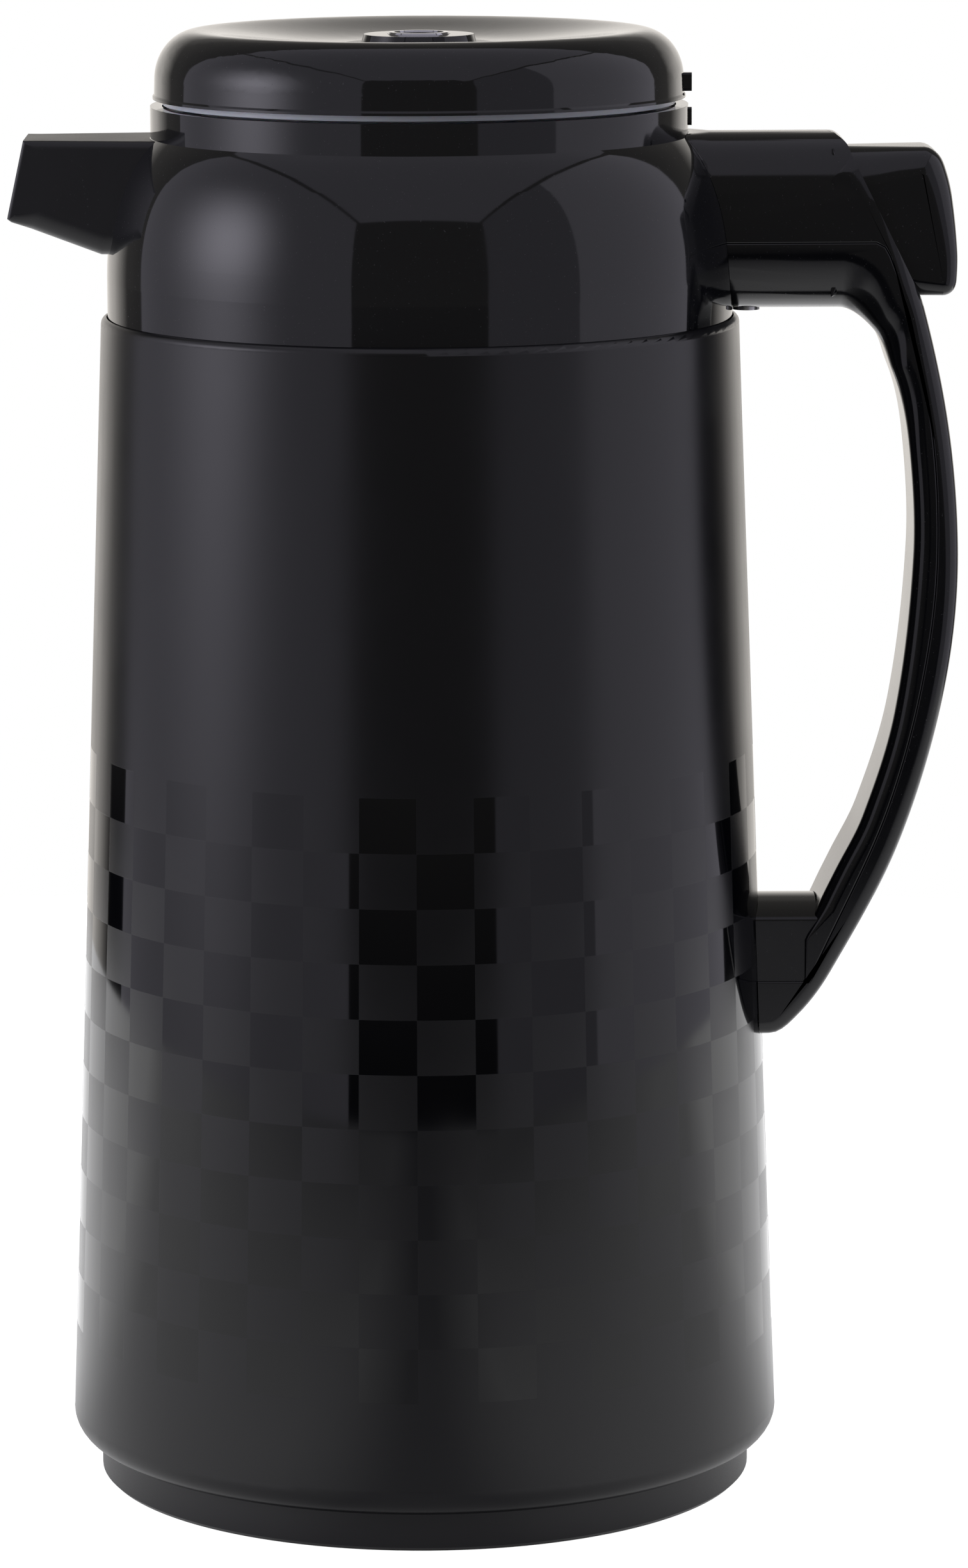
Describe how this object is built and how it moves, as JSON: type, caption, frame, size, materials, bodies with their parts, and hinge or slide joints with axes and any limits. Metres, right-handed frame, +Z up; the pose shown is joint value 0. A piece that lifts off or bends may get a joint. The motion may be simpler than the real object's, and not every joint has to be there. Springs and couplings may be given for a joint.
{
  "type": "thermal coffee carafe",
  "caption": "Handled glass-lined thermal coffee carafe with a push-button pouring valve, a spout and a screw-off stopper lid.",
  "frame": {"origin": "centre of the base, on the surface it stands on", "axes": "+Z up along the body's axis, -X towards the spout, +X towards the handle and push button"},
  "size_m": [0.1901, 0.1448, 0.2953],
  "materials": {
    "black_gloss": "high-gloss moulded black",
    "black_satin": "satin moulded black",
    "jacket_paint": "satin black enamel on thin steel with a band of glossy squares",
    "grey_plastic": "pale grey food-grade plastic",
    "steel": "bright stainless wire and rod",
    "hub_chrome": "bright plated",
    "silvered_glass": "silvered vacuum glass",
    "white_silicone": "soft translucent silicone",
    "dark_rubber": "black rubber"
  },
  "bodies": {
    "pot": {"base_ring": "black_satin", "base_cap": "black_satin", "bottom_cushion": "dark_rubber", "steel_jacket": "jacket_paint", "jacket_gasket": "dark_rubber", "glass_outer": "silvered_glass", "glass_inner": "silvered_glass", "liner_pads": "grey_plastic", "neck_packing": "white_silicone", "mouth_ring": "grey_plastic", "shoulder": "black_gloss", "spout": "black_gloss", "port_seal": "white_silicone", "handle_outer": "black_gloss", "handle_inner": "black_gloss", "lower_bracket": "black_gloss", "bracket_plate": "steel", "rod_bush": "grey_plastic", "rod_grommet": "white_silicone", "handle_screws": "steel", "button_spring": "steel"},
    "button": {"pour_button": "black_gloss", "push_rod": "steel", "button_pin": "steel"},
    "seal": {"stopper_seal": "white_silicone"},
    "lid": {"lid_cover": "black_gloss", "lid_hub": "hub_chrome", "stopper_body": "grey_plastic", "stopper_cover": "grey_plastic", "lid_screws": "steel", "drum_seal": "white_silicone", "stem_guide": "grey_plastic", "valve_spring": "steel"},
    "cam": {"cam_slider": "grey_plastic"},
    "valve": {"valve_stem": "steel", "stem_pin": "steel", "valve_disc": "grey_plastic", "valve_washer": "white_silicone"}
  },
  "joints": [
    {"name": "button_push", "type": "slide", "parent": "pot", "child": "button", "axis": [-1, 0, 0], "range_m": [0, 0.005], "stiffness_N_per_m": 900, "springref_m": -0.003, "deforming": ["button_spring"]},
    {"name": "lid_lift", "type": "slide", "parent": "pot", "child": "seal", "axis": [0, 0, 1], "range_m": [0, 0.06]},
    {"name": "lid_turn", "type": "hinge", "parent": "seal", "child": "lid", "pos_m": [0, 0, 0.28], "axis": [0, 0, 1], "range_deg": [0, 360]},
    {"name": "cam_slide", "type": "slide", "parent": "lid", "child": "cam", "axis": [-1, 0, 0], "range_m": [0, 0.005]},
    {"name": "valve_lift", "type": "slide", "parent": "lid", "child": "valve", "axis": [0, 0, 1], "range_m": [0, 0.004], "deforming": ["valve_spring"]}
  ],
  "couplings": [
    {"joint": "lid_lift", "follows": "lid_turn", "m_per_rad": 0.0095493},
    {"joint": "cam_slide", "follows": "button_push", "ratio": 1},
    {"joint": "valve_lift", "follows": "button_push", "ratio": 0.8}
  ]
}
